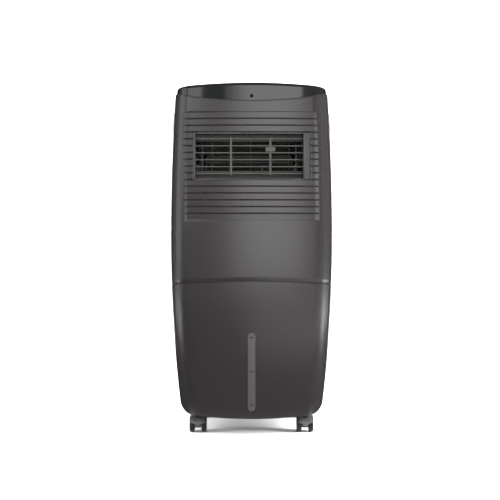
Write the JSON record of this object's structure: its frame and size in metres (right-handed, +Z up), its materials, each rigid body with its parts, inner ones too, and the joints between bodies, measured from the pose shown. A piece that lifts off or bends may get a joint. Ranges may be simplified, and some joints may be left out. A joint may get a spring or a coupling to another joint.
{
  "type": "tower evaporative air cooler",
  "caption": "Barrel-shaped tower air cooler with glossy crown, slatted front, louvred outlet, water tank with level window and twin-wheel castors.",
  "frame": {"origin": "centre of the bounding box's lower face, on the floor under the castor wheels", "axes": "+Z up, -Y towards the front with the air outlet, +X to the right as seen from the front"},
  "size_m": [0.376, 0.33, 0.8118],
  "materials": {
    "body": "fine moulded texture, satin",
    "crown": "high gloss",
    "lens": "polished smoked",
    "dark_lens": "polished",
    "blade": "satin",
    "tab": "satin",
    "frame": "satin",
    "grip": "satin",
    "button": "semi-gloss",
    "board": "solder mask",
    "steel": "zinc plated",
    "fan": "moulded",
    "trim": "moulded",
    "window": "smoked translucent",
    "float": "moulded",
    "pad": "corrugated cellulose",
    "mesh": "woven nylon mesh",
    "hose": "silicone",
    "trough": "moulded",
    "hood": "satin",
    "tread": "satin nylon"
  },
  "bodies": {
    "cabinet": {"front_housing": "body", "rear_housing": "body", "housing_screws": "steel", "cord_gland": "trim", "handle_left": "grip", "handle_right": "grip", "control_panel": "crown", "display_window": "lens", "ir_receiver": "dark_lens", "control_board": "board", "louvre_frame": "frame", "swing_motor": "trim", "fan_scroll": "fan", "scroll_cover": "fan", "fan_motor": "steel", "water_distributor": "trough", "water_pump": "trim", "water_hose": "hose", "water_tank": "body", "level_window": "window", "castor_stems": "steel"},
    "button_timer": {"button_timer": "button"},
    "button_swing": {"button_swing": "button"},
    "button_power": {"button_power": "button"},
    "button_cool": {"button_cool": "button"},
    "button_speed": {"button_speed": "button"},
    "louvre_blade_1": {"louvre_blade_1": "blade"},
    "louvre_blade_2": {"louvre_blade_2": "blade"},
    "louvre_blade_3": {"louvre_blade_3": "blade"},
    "louvre_blade_4": {"louvre_blade_4": "blade"},
    "louvre_blade_5": {"louvre_blade_5": "blade"},
    "louvre_blade_6": {"louvre_blade_6": "blade"},
    "louvre_links": {"louvre_link_left": "blade", "louvre_link_right": "tab"},
    "deflector_blade_1": {"deflector_blade_1": "blade"},
    "deflector_blade_2": {"deflector_blade_2": "blade"},
    "deflector_blade_3": {"deflector_blade_3": "blade"},
    "deflector_blade_4": {"deflector_blade_4": "blade"},
    "deflector_blade_5": {"deflector_blade_5": "blade"},
    "deflector_link": {"deflector_link": "blade"},
    "blower": {"blower_wheel": "fan"},
    "pump_impeller": {"pump_impeller": "trim"},
    "level_float": {"level_float": "float"},
    "rear_cassette": {"rear_grille": "body", "dust_filter": "mesh", "cooling_pad": "pad"},
    "fill_door": {"fill_door": "body"},
    "drain_plug": {"drain_plug": "trim"},
    "castor_front_left": {"castor_front_left": "hood"},
    "wheel_front_left_left": {"wheel_front_left_left": "tread"},
    "wheel_front_left_right": {"wheel_front_left_right": "tread"},
    "castor_front_right": {"castor_front_right": "hood"},
    "wheel_front_right_left": {"wheel_front_right_left": "tread"},
    "wheel_front_right_right": {"wheel_front_right_right": "tread"},
    "castor_rear_left": {"castor_rear_left": "hood"},
    "wheel_rear_left_left": {"wheel_rear_left_left": "tread"},
    "wheel_rear_left_right": {"wheel_rear_left_right": "tread"},
    "castor_rear_right": {"castor_rear_right": "hood"},
    "wheel_rear_right_left": {"wheel_rear_right_left": "tread"},
    "wheel_rear_right_right": {"wheel_rear_right_right": "tread"}
  },
  "joints": [
    {"name": "button_timer_press", "type": "slide", "parent": "cabinet", "child": "button_timer", "axis": [0, 0, -1], "range_m": [0, 0.0012], "stiffness_N_per_m": 400},
    {"name": "button_swing_press", "type": "slide", "parent": "cabinet", "child": "button_swing", "axis": [0, 0, -1], "range_m": [0, 0.0012], "stiffness_N_per_m": 400},
    {"name": "button_power_press", "type": "slide", "parent": "cabinet", "child": "button_power", "axis": [0, 0, -1], "range_m": [0, 0.0012], "stiffness_N_per_m": 400},
    {"name": "button_cool_press", "type": "slide", "parent": "cabinet", "child": "button_cool", "axis": [0, 0, -1], "range_m": [0, 0.0012], "stiffness_N_per_m": 400},
    {"name": "button_speed_press", "type": "slide", "parent": "cabinet", "child": "button_speed", "axis": [0, 0, -1], "range_m": [0, 0.0012], "stiffness_N_per_m": 400},
    {"name": "louvre_blade_1_tilt", "type": "hinge", "parent": "cabinet", "child": "louvre_blade_1", "pos_m": [0, -0.145, 0.681], "axis": [1, 0, 0], "range_deg": [-30, 30]},
    {"name": "louvre_blade_2_tilt", "type": "hinge", "parent": "cabinet", "child": "louvre_blade_2", "pos_m": [0, -0.145, 0.6651], "axis": [1, 0, 0], "range_deg": [-30, 30]},
    {"name": "louvre_blade_3_tilt", "type": "hinge", "parent": "cabinet", "child": "louvre_blade_3", "pos_m": [0, -0.145, 0.6492], "axis": [1, 0, 0], "range_deg": [-30, 30]},
    {"name": "louvre_blade_4_tilt", "type": "hinge", "parent": "cabinet", "child": "louvre_blade_4", "pos_m": [0, -0.145, 0.6333], "axis": [1, 0, 0], "range_deg": [-30, 30]},
    {"name": "louvre_blade_5_tilt", "type": "hinge", "parent": "cabinet", "child": "louvre_blade_5", "pos_m": [0, -0.145, 0.6174], "axis": [1, 0, 0], "range_deg": [-30, 30]},
    {"name": "louvre_blade_6_tilt", "type": "hinge", "parent": "cabinet", "child": "louvre_blade_6", "pos_m": [0, -0.145, 0.6015], "axis": [1, 0, 0], "range_deg": [-30, 30]},
    {"name": "louvre_link_swing", "type": "hinge", "parent": "louvre_blade_1", "child": "louvre_links", "pos_m": [0, -0.1505, 0.681], "axis": [1, 0, 0], "range_deg": [-30, 30]},
    {"name": "deflector_blade_1_swing", "type": "hinge", "parent": "cabinet", "child": "deflector_blade_1", "pos_m": [-0.0916, -0.116, 0.64125], "axis": [0, 0, 1], "range_deg": [-35, 35]},
    {"name": "deflector_blade_2_swing", "type": "hinge", "parent": "cabinet", "child": "deflector_blade_2", "pos_m": [-0.047, -0.116, 0.64125], "axis": [0, 0, 1], "range_deg": [-35, 35]},
    {"name": "deflector_blade_3_swing", "type": "hinge", "parent": "cabinet", "child": "deflector_blade_3", "pos_m": [-0.0024, -0.116, 0.64125], "axis": [0, 0, 1], "range_deg": [-35, 35]},
    {"name": "deflector_blade_4_swing", "type": "hinge", "parent": "cabinet", "child": "deflector_blade_4", "pos_m": [0.0422, -0.116, 0.64125], "axis": [0, 0, 1], "range_deg": [-35, 35]},
    {"name": "deflector_blade_5_swing", "type": "hinge", "parent": "cabinet", "child": "deflector_blade_5", "pos_m": [0.0868, -0.116, 0.64125], "axis": [0, 0, 1], "range_deg": [-35, 35]},
    {"name": "deflector_link_swing", "type": "hinge", "parent": "deflector_blade_3", "child": "deflector_link", "pos_m": [-0.0024, -0.105, 0.6038], "axis": [0, 0, 1], "range_deg": [-35, 35]},
    {"name": "blower_spin", "type": "hinge", "parent": "cabinet", "child": "blower", "pos_m": [0, 0.004, 0.5834], "axis": [1, 0, 0], "continuous": true},
    {"name": "impeller_spin", "type": "hinge", "parent": "cabinet", "child": "pump_impeller", "pos_m": [-0.09918, 0.085, 0.06], "axis": [0, 0, 1], "continuous": true},
    {"name": "float_rise", "type": "slide", "parent": "cabinet", "child": "level_float", "axis": [0, 0, 1], "range_m": [-0.0755, 0.0765]},
    {"name": "cassette_pull", "type": "slide", "parent": "cabinet", "child": "rear_cassette", "axis": [0, 1, 0], "range_m": [0, 0.15]},
    {"name": "fill_door_hinge", "type": "hinge", "parent": "cabinet", "child": "fill_door", "pos_m": [0, 0.1585, 0.291], "axis": [-1, 0, 0], "range_deg": [0, 85]},
    {"name": "drain_plug_pull", "type": "slide", "parent": "cabinet", "child": "drain_plug", "axis": [0, 1, 0], "range_m": [0, 0.03]},
    {"name": "castor_front_left_swivel", "type": "hinge", "parent": "cabinet", "child": "castor_front_left", "pos_m": [-0.125, -0.1, 0.048], "axis": [0, 0, 1], "continuous": true},
    {"name": "wheel_front_left_left_roll", "type": "hinge", "parent": "castor_front_left", "child": "wheel_front_left_left", "pos_m": [-0.125, -0.088, 0.02], "axis": [1, 0, 0], "continuous": true},
    {"name": "wheel_front_left_right_roll", "type": "hinge", "parent": "castor_front_left", "child": "wheel_front_left_right", "pos_m": [-0.125, -0.088, 0.02], "axis": [1, 0, 0], "continuous": true},
    {"name": "castor_front_right_swivel", "type": "hinge", "parent": "cabinet", "child": "castor_front_right", "pos_m": [0.125, -0.1, 0.048], "axis": [0, 0, 1], "continuous": true},
    {"name": "wheel_front_right_left_roll", "type": "hinge", "parent": "castor_front_right", "child": "wheel_front_right_left", "pos_m": [0.125, -0.088, 0.02], "axis": [1, 0, 0], "continuous": true},
    {"name": "wheel_front_right_right_roll", "type": "hinge", "parent": "castor_front_right", "child": "wheel_front_right_right", "pos_m": [0.125, -0.088, 0.02], "axis": [1, 0, 0], "continuous": true},
    {"name": "castor_rear_left_swivel", "type": "hinge", "parent": "cabinet", "child": "castor_rear_left", "pos_m": [-0.125, 0.1, 0.048], "axis": [0, 0, 1], "continuous": true},
    {"name": "wheel_rear_left_left_roll", "type": "hinge", "parent": "castor_rear_left", "child": "wheel_rear_left_left", "pos_m": [-0.125, 0.112, 0.02], "axis": [1, 0, 0], "continuous": true},
    {"name": "wheel_rear_left_right_roll", "type": "hinge", "parent": "castor_rear_left", "child": "wheel_rear_left_right", "pos_m": [-0.125, 0.112, 0.02], "axis": [1, 0, 0], "continuous": true},
    {"name": "castor_rear_right_swivel", "type": "hinge", "parent": "cabinet", "child": "castor_rear_right", "pos_m": [0.125, 0.1, 0.048], "axis": [0, 0, 1], "continuous": true},
    {"name": "wheel_rear_right_left_roll", "type": "hinge", "parent": "castor_rear_right", "child": "wheel_rear_right_left", "pos_m": [0.125, 0.112, 0.02], "axis": [1, 0, 0], "continuous": true},
    {"name": "wheel_rear_right_right_roll", "type": "hinge", "parent": "castor_rear_right", "child": "wheel_rear_right_right", "pos_m": [0.125, 0.112, 0.02], "axis": [1, 0, 0], "continuous": true}
  ],
  "couplings": [
    {"joint": "louvre_blade_2_tilt", "follows": "louvre_blade_1_tilt", "ratio": 1},
    {"joint": "louvre_blade_3_tilt", "follows": "louvre_blade_1_tilt", "ratio": 1},
    {"joint": "louvre_blade_4_tilt", "follows": "louvre_blade_1_tilt", "ratio": 1},
    {"joint": "louvre_blade_5_tilt", "follows": "louvre_blade_1_tilt", "ratio": 1},
    {"joint": "louvre_blade_6_tilt", "follows": "louvre_blade_1_tilt", "ratio": 1},
    {"joint": "louvre_link_swing", "follows": "louvre_blade_1_tilt", "ratio": -1},
    {"joint": "deflector_blade_1_swing", "follows": "deflector_blade_3_swing", "ratio": 1},
    {"joint": "deflector_blade_2_swing", "follows": "deflector_blade_3_swing", "ratio": 1},
    {"joint": "deflector_blade_4_swing", "follows": "deflector_blade_3_swing", "ratio": 1},
    {"joint": "deflector_blade_5_swing", "follows": "deflector_blade_3_swing", "ratio": 1},
    {"joint": "deflector_link_swing", "follows": "deflector_blade_3_swing", "ratio": -1}
  ]
}
